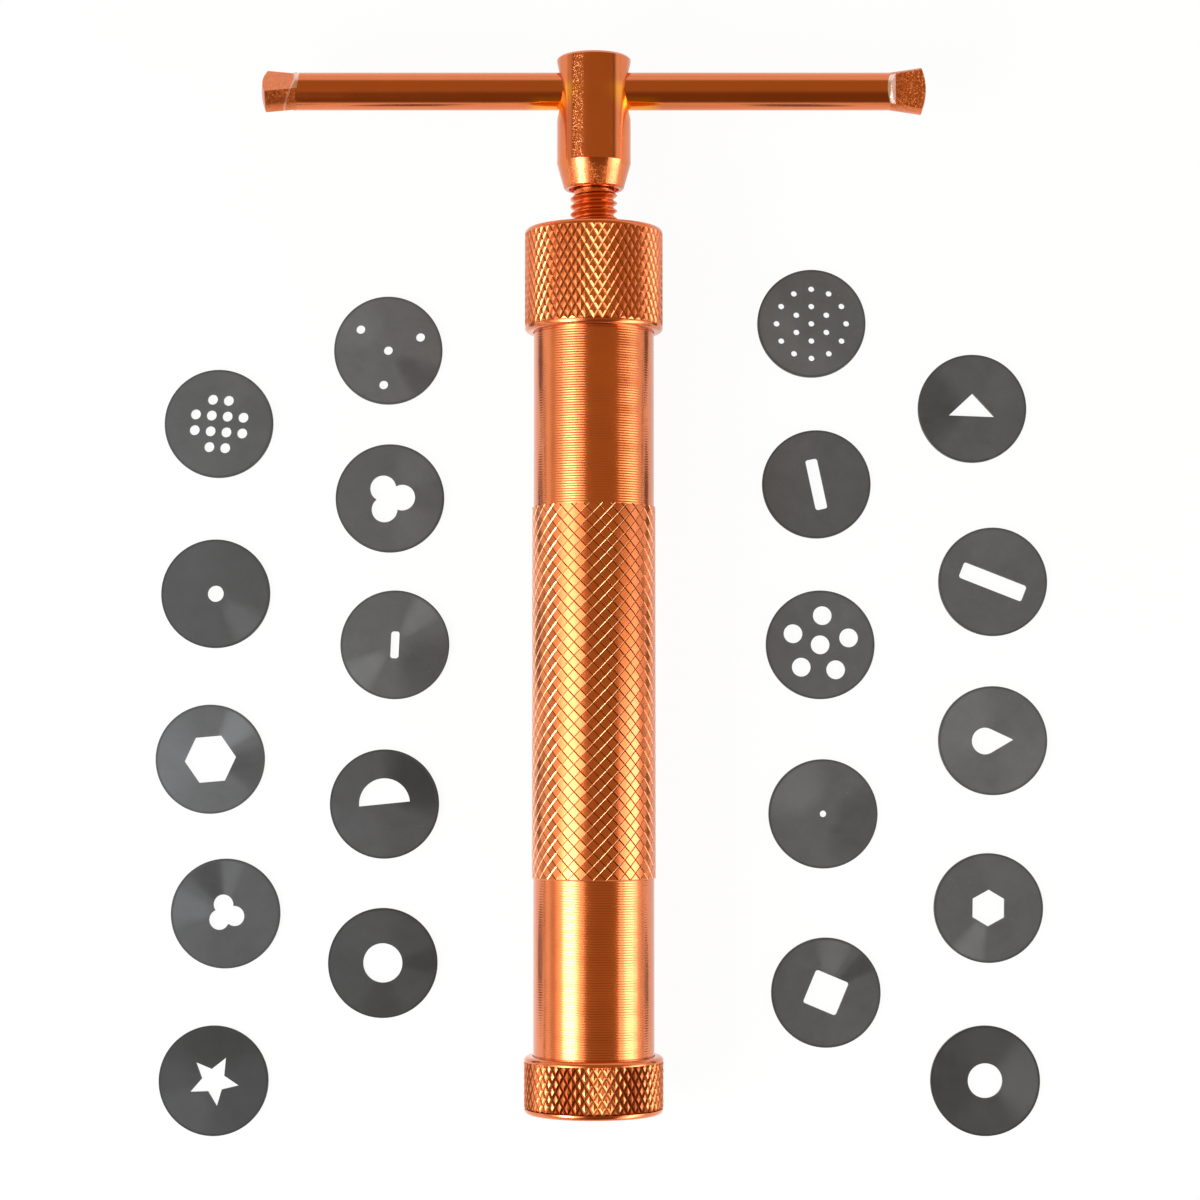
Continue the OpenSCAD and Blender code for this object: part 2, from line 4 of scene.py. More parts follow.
import bmesh
import bpy
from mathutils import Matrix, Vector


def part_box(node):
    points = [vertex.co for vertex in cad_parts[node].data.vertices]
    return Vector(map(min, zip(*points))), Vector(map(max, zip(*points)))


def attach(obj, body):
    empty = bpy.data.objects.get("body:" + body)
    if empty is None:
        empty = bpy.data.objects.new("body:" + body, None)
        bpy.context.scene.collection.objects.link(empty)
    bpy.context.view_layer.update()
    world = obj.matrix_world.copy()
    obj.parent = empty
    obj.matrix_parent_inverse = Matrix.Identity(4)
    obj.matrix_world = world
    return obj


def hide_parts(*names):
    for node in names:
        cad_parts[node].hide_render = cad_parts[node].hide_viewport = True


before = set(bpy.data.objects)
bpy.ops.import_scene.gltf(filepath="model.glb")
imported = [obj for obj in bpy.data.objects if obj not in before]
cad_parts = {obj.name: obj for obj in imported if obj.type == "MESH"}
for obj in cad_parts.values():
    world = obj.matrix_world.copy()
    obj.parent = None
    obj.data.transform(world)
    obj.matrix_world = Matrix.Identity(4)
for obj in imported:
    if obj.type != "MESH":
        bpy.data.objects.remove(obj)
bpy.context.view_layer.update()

bl_info = {
    "name": "Clay extruder finish",
    "version": (1, 0, 0),
    "blender": (4, 5, 0),
    "location": "View3D > Sidebar > Clay extruder",
    "description": "Builds the turned, knurled and threaded pieces of a clay extruder and their finishes",
    "category": "Object",
}

MM = 0.001

# The part's own levels along the tool, and radii, in millimetres, as the CAD has them.
OUTLET_R, BORE_R, POCKET_R, MOUTH_R = 8.25, 9.0, 10.1, 10.95
TUBE_R, GRIP_R, CAP_R, CAP_ROUND = 10.85, 11.1, 12.5, 0.8
LIP_Y, SEAT_Y, TUBE_LOW_Y, LOWER_SHOULDER_Y = 1.5, 2.3, 2.4, 9.2
BOTTOM_CAP_Y, GRIP_LOW_Y, GRIP_HIGH_Y = 10.2, 41.7, 108.3
TOP_CAP_LOW_Y, UPPER_SHOULDER_Y, TUBE_HIGH_Y, NUT_Y, TOP_CAP_HIGH_Y = 140.0, 141.0, 151.7, 151.8, 158.8
SCREW_R, SCREW_ROOT_R, JOURNAL_R, SPIGOT_R, NUT_BORE_R = 4.25, 3.62, 2.5, 3.5, 4.31
JOURNAL_Y, SCREW_LOW_Y, SCREW_HIGH_Y, SPIGOT_Y = 13.2, 20.6, 166.9, 175.9
TAP_R = 1.52
BAR_Y, BAR_FLAT, BAR_END, LEFT_TURN, TAPER_Y = 184.1, 2.2, 6.6, math.radians(48), 170.8

# Heights of the rings that only split a long wall of the barrel, its bore or the screw's core.
LOW_RING_Y, BORE_RING_Y, CORE_RING_Y, HIGH_RING_Y = 25.0, 75.0, 90.0, 125.0

# Roots and ridges of the cap threads and where they end, a cap's plain rims and the bed under its sleeve.
TUBE_ROOT_R, TUBE_CREST_R, CAP_ROOT_R, CAP_CREST_R = 10.2, 10.6, 11.05, 10.7
TUBE_THREAD_Y, TUBE_RELIEF, CAP_THREAD_Y, CAP_RELIEF = 8.4, 0.8, 8.7, 1.6
RIM_R, BED_R, MOUTH_DEPTH = CAP_R - 0.04, CAP_R - 0.6, 1.2

# A chamfer or a gap, a broken edge, and how deep the roots of ridges and the ends of sleeves are sunk.
CLEAR, BREAK, SINK, GRIP_TUCK, CAP_TUCK = 0.3, 0.15, 0.02, 0.1, 0.15

# Points that are nearer than this, in metres, count as level, and nearer than these are merged.
LEVEL, WELD_THREAD, WELD_ROWS = 1e-6, 1e-7, 1e-5

# Painted light: a golden glow painted round the cross hole, a pale highlight painted on edges and specks,
# and a pale highlight painted on the bar's pressed step.
PAINTED_HOLE_GLOW = (0.95, 0.36, 0.02, 1)
PAINTED_GLINT = (0.98, 0.62, 0.28, 1)
PAINTED_STEP_HIGHLIGHT = (0.95, 0.78, 0.72, 1)

# How bright each die is, and the painted sheen of its turned face, as fans of
# (direction in degrees, half width in degrees, strength).
DIE_SHEEN = {
    "die_twelve_hole": (0.66, [(70, 40, 0.08), (250, 40, 0.05)]),
    "die_small_round": (0.47, [(-45, 30, 0.30), (120, 50, 0.05)]),
    "die_large_hexagon": (0.67, [(50, 26, 0.55), (-10, 34, -0.28), (180, 70, 0.18)]),
    "die_small_trefoil": (0.50, [(115, 26, -0.32), (172, 30, 0.28), (82, 18, 0.22), (-90, 60, -0.08)]),
    "die_star": (0.26, [(90, 80, -0.28), (-130, 50, 0.22)]),
    "die_four_hole": (0.92, [(-40, 30, -0.22), (140, 50, 0.10)]),
    "die_large_trefoil": (0.72, [(-50, 40, 0.14), (50, 34, 0.14)]),
    "die_short_slot": (0.75, [(50, 24, 0.34), (220, 26, 0.34), (-35, 60, -0.22)]),
    "die_half_round": (0.49, [(38, 66, -0.42), (-130, 60, 0.10)]),
    "die_large_round": (0.36, [(115, 60, 0.12), (3, 20, -0.24), (-90, 34, -0.18)]),
    "die_nineteen_hole": (0.89, [(190, 60, 0.14), (-90, 50, 0.10)]),
    "die_long_slot": (0.74, [(120, 50, 0.06)]),
    "die_six_hole": (0.85, [(60, 50, 0.06)]),
    "die_pinhole": (0.82, [(140, 60, 0.26), (-20, 70, -0.18)]),
    "die_square": (0.68, [(80, 26, 0.36), (37, 16, -0.26), (-60, 40, 0.06)]),
    "die_triangle": (0.79, [(180, 60, -0.24), (30, 40, 0.06)]),
    "die_wide_slot": (0.85, [(90, 50, 0.08)]),
    "die_teardrop": (0.97, [(150, 80, 0.14), (-30, 60, 0.08)]),
    "die_small_hexagon": (0.79, [(-115, 24, 0.42), (60, 50, 0.06)]),
    "die_dished_round": (0.48, [(0, 62, 0.55), (180, 80, -0.16)]),
}

# Soft boxes beside the tool: near and far edge in degrees from straight up, low and high end along the tool
# and distance in metres, glow, and side of the tool.
SOFT_BOXES = (
    ("left_wide", 17, 77, -0.5, 0.245, 0.62, 0.7, -1),
    ("left_middle", 26, 70, -0.5, 0.24, 0.61, 0.8, -1),
    ("left_narrow", 36, 61, -0.5, 0.235, 0.60, 1.8, -1),
    ("left_core", 29, 62, -0.45, 0.012, 0.59, 2.2, -1),
    ("left_grip", 19, 50, 0.012, 0.13, 0.59, 2.4, -1),
    ("left_heart", 36, 56, -0.45, 0.012, 0.58, 8.0, -1),
    ("right_wide", 50, 88, -0.85, 0.245, 0.62, 0.32, 1),
    ("right_middle", 66, 95, -0.85, 0.09, 0.61, 0.5, 1),
    ("right_core", 48, 94, -0.8, 0.09, 0.60, 1.7, 1),
    ("right_grip", 62, 92, 0.01, 0.085, 0.59, 1.8, 1),
    ("right_heart", 60, 80, -0.8, 0.01, 0.59, 3.0, 1),
)

# Where the camera stands, in metres, and how far it looks up the tool.
CAMERA_AT, CAMERA_RISE, CAMERA_LENS = (0.00112, 0.06465, 0.530), 0.027, 88.45


class ExtruderSizes(bpy.types.PropertyGroup):
    """Sizes of the pressed and cut patterns"""

    grip_cells: bpy.props.IntProperty(
        name="Grip cells around", description="Knurl cells round the grip band", default=30, min=8)
    grip_row: bpy.props.FloatProperty(
        name="Grip row", description="Height of one knurl row on the grip band", default=0.0024,
        min=0.0005, unit="LENGTH", subtype="DISTANCE", precision=5)
    grip_groove: bpy.props.FloatVectorProperty(
        name="Grip groove", description="Half width and depth of the grip's grooves, and lean of its lands",
        size=3, default=(0.00012, 0.00011, 0.00006), min=0.00001, unit="LENGTH", subtype="XYZ", precision=5)
    cap_cells: bpy.props.IntProperty(
        name="Cap cells around", description="Knurl cells round each cap", default=50, min=8)
    cap_row: bpy.props.FloatProperty(
        name="Cap row", description="Height of one knurl row on the caps", default=0.00264,
        min=0.0005, unit="LENGTH", subtype="DISTANCE", precision=5)
    top_groove: bpy.props.FloatVectorProperty(
        name="Top cap groove",
        description="Half width and depth of the grooves, rise and lean of the tops",
        size=4, default=(0.00029, 0.00016, 0.00005, 0.00005), min=0.0, unit="LENGTH", precision=5)
    bottom_groove: bpy.props.FloatVectorProperty(
        name="Bottom cap groove",
        description="Half width and depth of the grooves, rise and lean of the tops",
        size=4, default=(0.00033, 0.00021, 0.0001, 0.0), min=0.0, unit="LENGTH", precision=5)
    screw_pitch: bpy.props.FloatProperty(
        name="Screw pitch", description="Rise of the lead screw in one turn", default=0.00141,
        min=0.0005, unit="LENGTH", subtype="DISTANCE", precision=5)
    cap_pitch: bpy.props.FloatProperty(
        name="Cap thread pitch", description="Rise of the caps' threads in one turn", default=0.001,
        min=0.0005, unit="LENGTH", subtype="DISTANCE", precision=5)
    ring_pitch: bpy.props.FloatProperty(
        name="Turning pitch", description="Spacing of the turning rings on smooth copper", default=0.00045,
        min=0.0001, unit="LENGTH", subtype="DISTANCE", precision=5)


class ExtruderColours(bpy.types.PropertyGroup):
    """Colours of the finishes and of the studio"""

    copper: bpy.props.FloatVectorProperty(
        name="Copper", description="Bright copper coloured finish", subtype="COLOR", size=4,
        min=0, max=1, default=(0.74, 0.195, 0.06, 1))
    red_copper: bpy.props.FloatVectorProperty(
        name="Screw copper", description="Deeper colour of the lead screw", subtype="COLOR", size=4,
        min=0, max=1, default=(0.78, 0.19, 0.045, 1))
    steel: bpy.props.FloatVectorProperty(
        name="Die steel", description="Grey of the loose dies", subtype="COLOR", size=4,
        min=0, max=1, default=(0.1095, 0.122, 0.139, 1))
    aluminium: bpy.props.FloatVectorProperty(
        name="Piston metal", description="Pale metal of the piston", subtype="COLOR", size=4,
        min=0, max=1, default=(0.78, 0.78, 0.77, 1))
    zinc: bpy.props.FloatVectorProperty(
        name="Plated steel", description="Plating of the washer and its screw", subtype="COLOR", size=4,
        min=0, max=1, default=(0.62, 0.63, 0.66, 1))
    rubber: bpy.props.FloatVectorProperty(
        name="Rubber", description="Black of the sealing ring", subtype="COLOR", size=4,
        min=0, max=1, default=(0.018, 0.018, 0.018, 1))
    floor: bpy.props.FloatVectorProperty(
        name="Floor", description="White of the table", subtype="COLOR", size=4,
        min=0, max=1, default=(0.86, 0.86, 0.86, 1))
    overhead: bpy.props.FloatVectorProperty(
        name="Overhead", description="Dim warm grey of the room above the table", subtype="COLOR", size=4,
        min=0, max=1, default=(0.42, 0.28, 0.115, 1))
    overhead_far: bpy.props.FloatVectorProperty(
        name="Overhead far end", description="Darker end of the room above the table", subtype="COLOR",
        size=4, min=0, max=1, default=(0.20, 0.115, 0.035, 1))


# Shader nodes written as sums.

class Wire:
    """A socket that can stand in a sum"""

    def __init__(self, recipe, socket):
        self.recipe = recipe
        self.socket = socket

    def part(self, name):
        """Another output of the same node."""
        return Wire(self.recipe, self.socket.node.outputs[name])

    def _sum(self, operation, *values):
        return self.recipe.node("ShaderNodeMath", {"operation": operation}, dict(enumerate(values)))

    def __add__(self, other):
        return self._sum("ADD", self, other)

    __radd__ = __add__

    def __sub__(self, other):
        return self._sum("SUBTRACT", self, other)

    def __rsub__(self, other):
        return self._sum("SUBTRACT", other, self)

    def __mul__(self, other):
        return self._sum("MULTIPLY", self, other)

    __rmul__ = __mul__

    def __truediv__(self, other):
        return self._sum("DIVIDE", self, other)

    def __pow__(self, other):
        return self._sum("POWER", self, other)

    def __abs__(self):
        return self._sum("ABSOLUTE", self)

    def sine(self):
        return self._sum("SINE", self)


class Recipe:
    """The nodes of one finish"""

    def __init__(self, owner):
        owner.use_nodes = True
        self.owner = owner
        self.tree = owner.node_tree
        self.tree.nodes.clear()

    def node(self, kind, settings=None, values=None, out=0):
        """Adds a node, sets it, fills its sockets with values or wires, and returns one output."""
        made = self.tree.nodes.new(kind)
        for name, value in (settings or {}).items():
            setattr(made, name, value)
        for name, value in (values or {}).items():
            if isinstance(value, Wire):
                self.tree.links.new(value.socket, made.inputs[name])
            else:
                made.inputs[name].default_value = value
        return Wire(self, made.outputs[out]) if len(made.outputs) else None

    def spot(self, stretch=(1, 1, 1)):
        """Place on the piece, in millimetres."""
        place = self.node("ShaderNodeTexCoord", out="Object")
        scale = tuple(s / MM for s in stretch)
        return self.node("ShaderNodeMapping", {}, {"Vector": place, "Scale": scale})

    def axes(self, vector):
        """The three numbers of a vector."""
        x = self.node("ShaderNodeSeparateXYZ", {}, {"Vector": vector}, "X")
        return x, x.part("Y"), x.part("Z")

    def noise(self, vector, size, detail=2.0, rough=0.5):
        """Cloudy noise with features of that size in millimetres."""
        return self.node("ShaderNodeTexNoise", {}, {
            "Vector": vector, "Scale": 1 / size, "Detail": detail, "Roughness": rough}, "Fac")

    def rise(self, value, low, high, first=0.0, last=1.0):
        """Goes smoothly from first to last as value goes from low to high."""
        return self.node("ShaderNodeMapRange", {"interpolation_type": "SMOOTHSTEP", "clamp": True}, {
            "Value": value, "From Min": low, "From Max": high, "To Min": first, "To Max": last}, "Result")

    def mix(self, share, first, second):
        """A colour between two."""
        return self.node("ShaderNodeMix", {"data_type": "RGBA", "clamp_factor": True}, {
            0: share, 6: first, 7: second}, 2)

    def bump(self, height):
        """A bump from a height in millimetres."""
        return self.node(
            "ShaderNodeBump", {}, {"Strength": 1.0, "Distance": MM, "Height": height}, "Normal")

    def surface(self, values):
        """The finished surface and its output."""
        shader = self.node("ShaderNodeBsdfPrincipled", {}, values, "BSDF")
        self.node("ShaderNodeOutputMaterial", {}, {"Surface": shader})
        return self.owner


def shade(colour, factor):
    """A colour made lighter or darker."""
    return tuple(min(1.0, c * factor) for c in colour[:3]) + (1,)


def finish_named(name):
    """A new, empty finish."""
    return Recipe(bpy.data.materials.new(name))


def copper_finish(name, colour, rough=0.16, ring_height=0.0, ring_pitch=0.45, grain=0.0012, coat=0.35,
                  valley=None, slashes=None, glow=None, pits=None):
    """Bright copper coloured metal with its clear skin, cloudy polish, fine grain and turning rings.

    Grooves below the valley radius get painted shade, a darker brown. Slashes (cells around, row, first
    level) keep it to one family of a knurl's lines, and paint a pale highlight on one edge of the other
    family. Glow paints a golden glow round the cross hole at that level, and pits roughens it in specks
    below that level and along one side, where the specks are painted pale as glints.
    """
    make = finish_named(name)
    spot = make.spot()
    cloud = make.noise(spot, 5.0, 3.0)
    fine = make.noise(spot, 0.16, 2.0)
    height = fine * grain
    polish = rough + (cloud - 0.5) * 0.06
    if ring_height:
        _, y, _ = make.axes(spot)
        bands = make.noise(make.spot(stretch=(0.02, 1, 0.02)), 3.0, 2.0)
        rings = (y * (math.tau / ring_pitch)).sine()
        height = height + rings * make.rise(bands, 0.35, 0.65, 0.6, 1.0) * ring_height
        polish = polish + (bands - 0.5) * 0.03
    tone = make.mix(cloud, shade(colour, 0.90), shade(colour, 1.08))
    metal = 1.0
    if valley:
        x, y, z = make.axes(spot)
        out = (x * x + z * z) ** 0.5
        # Painted shade: the copper in the grooves below the valley radius is coloured a darker brown.
        groove_shade = make.rise(out, valley[1], valley[0])
        if slashes:
            cells, row, start = slashes
            angle = make.node("ShaderNodeMath", {"operation": "ARCTAN2"}, {0: x, 1: z})
            turn = angle * (cells / math.tau)
            climb = (y - start) / row
            line = make.node("ShaderNodeMath", {"operation": "PINGPONG"}, {0: turn + climb, 1: 0.5})
            cell = make.node("ShaderNodeMath", {"operation": "FRACT"}, {0: turn - climb})
            # The painted highlight is a narrow share of each cell, on the wide wall of its groove, coloured
            # pale.
            edge = make.rise(cell, 0.865, 0.885) * make.rise(cell, 0.955, 0.935)
            # The painted shade stays only in the grooves of one family of lines, where they show as thin
            # dark lines.
            groove_shade = groove_shade * make.rise(line, 0.09, 0.05, 0.06, 1.0)
            # Painted highlight: that edge of the other family of lines is coloured pale and less metallic.
            tone = make.mix(edge, tone, PAINTED_GLINT)
            metal = 1.0 - edge * 0.6
        tone = make.mix(groove_shade, tone, shade(colour, 0.3))
        polish = polish + groove_shade * 0.06
        coat = coat - groove_shade * coat
    if glow:
        _, y, z = make.axes(spot)
        # Painted reflection: the copper round the cross hole is coloured golden, like a glow.
        near = make.rise(((y - glow) * (y - glow) + z * z) ** 0.5, 7.0, 4.2)
        tone = make.mix(near * make.rise(y, glow + 1.5, glow - 0.5), tone, PAINTED_HOLE_GLOW)
    if pits:
        x, y, _ = make.axes(spot)
        # The speckled side lies left of the middle, where the specks are painted pale as glints, and the
        # taper below the level is pitted all round.
        side = make.rise(x, -4.0, -3.4) * make.rise(x, -1.6, -2.4)
        specks = make.rise(make.noise(spot, 0.24, 3.0, 0.6), 0.55, 0.70)
        height = height - specks * (side + make.rise(y, pits, pits - 2.5) * 0.8) * 0.03
        # Painted glints: the pitted specks on that side are coloured pale and less metallic.
        tone = make.mix(specks * side, tone, PAINTED_GLINT)
        metal = 1.0 - specks * side * 0.6
        polish = polish + make.rise(y, pits, pits - 2.0) * 0.10
    return make.surface({
        "Base Color": tone, "Metallic": metal, "Roughness": polish, "Coat Weight": coat,
        "Coat Roughness": 0.08, "Normal": make.bump(height)})


def bar_finish(name, colour, centre, spread):
    """Copper bar whose two ends were pressed flat: pitted and duller past the spread, with a painted pale
    highlight on the step.
    """
    make = finish_named(name)
    spot = make.spot()
    x, y, z = make.axes(spot)
    along = x - centre
    reach = abs(along)
    end = make.rise(reach, spread - 0.2, spread + 0.4)
    right = make.rise(along, -1.0, 1.0)
    # How far a point stands above the pressed flat, which is turned at the left end only.
    turned_flat = abs((y - BAR_Y) * math.sin(LEFT_TURN) + z * math.cos(LEFT_TURN))
    above = turned_flat + (abs(z) - turned_flat) * right - BAR_FLAT
    # Painted highlight: a pale crescent where the pressed flat's step meets the round bar.
    step = make.rise(reach + above * (0.25 + right * 0.25), spread - 0.05, spread + 0.05)
    step = step * make.rise(above, 0.0, 0.05)
    # A fine crease runs aslant over the left flat and is painted pale as a highlight, and a golden glow is
    # painted on the bar under the cross hole.
    slant = (BAR_Y + 2.8 - y) * 0.38 + spread
    crease = make.rise(abs(reach - slant), 0.24, 0.08) * (1.0 - right)
    # Painted reflection: the bar is coloured golden where it lies under the cross hole.
    glow_under_hole = make.rise(abs(x), 13.0, 9.5) * make.rise(y - BAR_Y, -1.3, -2.1)
    cloud = make.noise(spot, 6.0, 3.0)
    drawn = make.noise(make.spot(stretch=(0.06, 1, 1)), 0.35, 2.0)
    torn = make.noise(make.spot(stretch=(1.6, 0.7, 1)), 0.9, 4.0, 0.65)
    specks = make.rise(make.noise(spot, 0.26, 2.0), 0.57, 0.66)
    tone = make.mix(cloud, shade(colour, 0.92), shade(colour, 1.06))
    dull = make.mix(make.rise(torn, 0.35, 0.65), shade(colour, 0.84), shade(colour, 1.04))
    tone = make.mix(glow_under_hole, make.mix(end, tone, dull), PAINTED_HOLE_GLOW)
    step = step * (0.55 + right * 0.45) + crease * 0.3
    # The step and crease highlights are painted in a pale colour.
    tone = make.mix(step, tone, PAINTED_STEP_HIGHLIGHT)
    height = drawn * 0.0016 + end * (torn * 0.012 + specks * (0.01 + right * 0.06))
    return make.surface({
        "Base Color": tone, "Metallic": 1.0,
        "Roughness": 0.15 + (cloud - 0.5) * 0.05 + end * (0.08 + torn * 0.1) + step * 0.2,
        "Coat Weight": 0.35 - end * 0.2, "Coat Roughness": 0.08, "Normal": make.bump(height)})


def die_finish(name, colour, centre, sheen):
    """Flat tumbled steel disc: turning rings, a darker rim, light dots and the painted sheen fans of a
    turned face.
    """
    make = finish_named(name)
    spot = make.spot()
    x, y, _ = make.axes(spot)
    across, along = x - centre[0], y - centre[1]
    reach = (across * across + along * along) ** 0.5
    cloud = make.noise(spot, 2.6, 4.0, 0.6)
    speck = make.noise(spot, 0.3, 3.0, 0.7)
    dots = make.noise(spot, 0.42, 1.0)
    light = 0.0
    # Painted sheen: each fan lightens or darkens the steel's colour in one direction round the middle.
    for angle, half, strength in sheen:
        turn = math.radians(angle)
        facing = (across * math.cos(turn) + along * math.sin(turn)) / (reach + 0.01)
        light = light + make.rise(facing, math.cos(math.radians(half)), 1.0) * strength
    fade = make.rise(reach, 1.0, 4.5) * make.rise(reach, 9.9, 9.3)
    rim = make.rise(reach, 9.45, 9.75)
    level = 1.0 + light * fade * (0.7 + speck * 0.6) + (cloud - 0.5) * 0.22 + (speck - 0.5) * 0.10
    level = level - rim * 0.18 + make.rise(dots, 0.76, 0.80) * 0.45
    tone = make.mix(make.rise(level, 0.3, 1.7), shade(colour, 0.3), shade(colour, 1.7))
    turned = (reach * (math.tau / 0.36)).sine() * 0.0006 + speck * 0.002
    return make.surface({
        "Base Color": tone, "Metallic": 0.5, "Roughness": 0.48 + (cloud - 0.5) * 0.1 - rim * 0.06,
        "Normal": make.bump(turned)})


def plain_metal_finish(name, colour, rough):
    """Turned or plated metal with fine rings about the tool's axis."""
    make = finish_named(name)
    spot = make.spot()
    _, y, _ = make.axes(spot)
    cloud = make.noise(spot, 3.0, 3.0)
    fine = make.noise(spot, 0.25, 3.0)
    tone = make.mix(cloud, shade(colour, 0.86), shade(colour, 1.06))
    height = (y * (math.tau / 0.3)).sine() * 0.0012 + fine * 0.002
    return make.surface({
        "Base Color": tone, "Metallic": 1.0, "Roughness": rough + (cloud - 0.5) * 0.12,
        "Normal": make.bump(height)})


def rubber_finish(name, colour):
    """Matt moulded rubber, a little greasy in places."""
    make = finish_named(name)
    spot = make.spot()
    cloud = make.noise(spot, 1.6, 3.0)
    fine = make.noise(spot, 0.12, 2.0)
    return make.surface({
        "Base Color": make.mix(cloud, shade(colour, 0.8), shade(colour, 1.5)),
        "Roughness": 0.5 + (cloud - 0.5) * 0.2, "Normal": make.bump(fine * 0.006)})


# Modelling helpers. Each piece is made upright on the Z axis, and hand_over lays it along the Y axis.

def only(piece):
    """Selects one object and nothing else."""
    bpy.ops.object.select_all(action="DESELECT")
    piece.select_set(True)
    bpy.context.view_layer.objects.active = piece


def choose(kind, wanted):
    """Selects, in edit mode, the points, edges or faces that pass a test."""
    bpy.ops.mesh.select_mode(type=kind)
    bpy.ops.mesh.select_all(action="DESELECT")
    mesh = bpy.context.edit_object.data
    shape = bmesh.from_edit_mesh(mesh)
    for part in {"VERT": shape.verts, "EDGE": shape.edges, "FACE": shape.faces}[kind]:
        if wanted(part):
            part.select_set(True)
    shape.select_flush_mode()
    bmesh.update_edit_mesh(mesh)


def begin():
    """Leaves nothing selected, ready for a new primitive."""
    bpy.ops.object.select_all(action="DESELECT")


def name_piece(name):
    """Names the active object and its mesh."""
    piece = bpy.context.object
    piece.name = name
    piece.data.name = name
    return piece


def corner(centre_r, centre_z, size, start, end, steps=4):
    """Points of a rounded corner, as (radius, height)."""
    turns = [math.radians(start + (end - start) * i / steps) for i in range(steps + 1)]
    return [(centre_r + size * math.cos(a), centre_z + size * math.sin(a)) for a in turns]


def turned(name, outline, sides=128):
    """A turned piece: a ring drawn out along a closed outline of (radius, height) in millimetres."""
    begin()
    first_r, first_z = outline[0]
    bpy.ops.mesh.primitive_circle_add(vertices=sides, radius=first_r * MM, location=(0, 0, first_z * MM))
    piece = name_piece(name)
    bpy.ops.object.mode_set(mode="EDIT")
    bpy.ops.mesh.select_mode(type="EDGE")
    bpy.ops.mesh.select_all(action="SELECT")
    last_r, last_z = first_r, first_z
    for r, z in outline[1:] + outline[:1]:
        bpy.ops.mesh.extrude_edges_move(TRANSFORM_OT_translate={"value": (0, 0, (z - last_z) * MM)})
        bpy.ops.transform.resize(value=(r / last_r, r / last_r, 1), center_override=(0, 0, z * MM))
        last_r, last_z = r, z
    bpy.ops.mesh.select_all(action="SELECT")
    bpy.ops.mesh.remove_doubles(threshold=LEVEL)
    bpy.ops.mesh.normals_make_consistent(inside=False)
    bpy.ops.object.mode_set(mode="OBJECT")
    return piece


def thread(name, root_r, crest_r, pitch, low, high, steps=32):
    """A right-handed thread ridge: one cut of the ridge wound up the axis, with its two ends closed."""
    base, top = 0.42 * pitch, 0.07 * pitch
    cut = [(root_r, -base), (crest_r, -top), (crest_r, top), (root_r, base)]
    begin()
    bpy.ops.mesh.primitive_plane_add(size=MM)
    piece = name_piece(name)
    bpy.ops.object.mode_set(mode="EDIT")
    bpy.ops.mesh.select_mode(type="VERT")
    bpy.ops.mesh.select_all(action="SELECT")
    bpy.ops.mesh.merge(type="CENTER")
    start = low + base
    bpy.ops.transform.translate(value=(cut[0][0] * MM, 0, (start + cut[0][1]) * MM))
    for before, after in zip(cut, cut[1:]):
        move = ((after[0] - before[0]) * MM, 0, (after[1] - before[1]) * MM)
        bpy.ops.mesh.extrude_vertices_move(TRANSFORM_OT_translate={"value": move})
    choose("VERT", lambda v: abs(v.co.x - root_r * MM) < LEVEL)
    bpy.ops.mesh.edge_face_add()
    bpy.ops.object.mode_set(mode="OBJECT")
    wind = piece.modifiers.new("wind", "SCREW")
    wind.axis = "Z"
    wind.steps = wind.render_steps = steps
    wind.screw_offset = pitch * MM
    wind.iterations = int((high - low - 2 * base) / pitch)
    bpy.ops.object.modifier_apply(modifier=wind.name)
    bpy.ops.object.mode_set(mode="EDIT")
    bpy.ops.mesh.select_all(action="SELECT")
    bpy.ops.mesh.remove_doubles(threshold=WELD_THREAD)
    bpy.ops.mesh.fill_holes(sides=6)
    bpy.ops.mesh.select_all(action="SELECT")
    bpy.ops.mesh.normals_make_consistent(inside=False)
    bpy.ops.object.mode_set(mode="OBJECT")
    return piece


def diamonds(name, radius, low, high, cells, row):
    """A sleeve of upright diamonds: one ring is poked, repeated up the axis, and loses its square edges."""
    begin()
    bpy.ops.mesh.primitive_cylinder_add(
        vertices=cells, radius=radius * MM, depth=row * MM, end_fill_type="NOTHING",
        location=(0, 0, (low + row / 2) * MM))
    piece = name_piece(name)
    bpy.ops.object.transform_apply(location=True, rotation=True, scale=True)
    bpy.ops.object.mode_set(mode="EDIT")
    bpy.ops.mesh.select_all(action="SELECT")
    bpy.ops.mesh.poke()
    middle = (low + row / 2) * MM
    choose("VERT", lambda v: abs(v.co.z - middle) < LEVEL)
    out = 1 / math.cos(math.pi / cells)
    bpy.ops.transform.resize(value=(out, out, 1), center_override=(0, 0, middle))
    bpy.ops.object.mode_set(mode="OBJECT")
    repeat = piece.modifiers.new("rows", "ARRAY")
    repeat.use_relative_offset = False
    repeat.use_constant_offset = True
    repeat.constant_offset_displace = (0, 0, row * MM)
    repeat.count = math.ceil((high - low) / row)
    repeat.use_merge_vertices = True
    repeat.merge_threshold = WELD_ROWS
    bpy.ops.object.modifier_apply(modifier=repeat.name)
    bpy.ops.object.mode_set(mode="EDIT")

    def square(edge):
        a, b = (v.co for v in edge.verts)
        level = abs(a.z - b.z) < LEVEL
        upright = abs(a.x - b.x) < LEVEL and abs(a.y - b.y) < LEVEL
        return len(edge.link_faces) == 2 and (level or upright)

    choose("EDGE", square)
    bpy.ops.mesh.dissolve_edges(use_verts=False)
    return piece


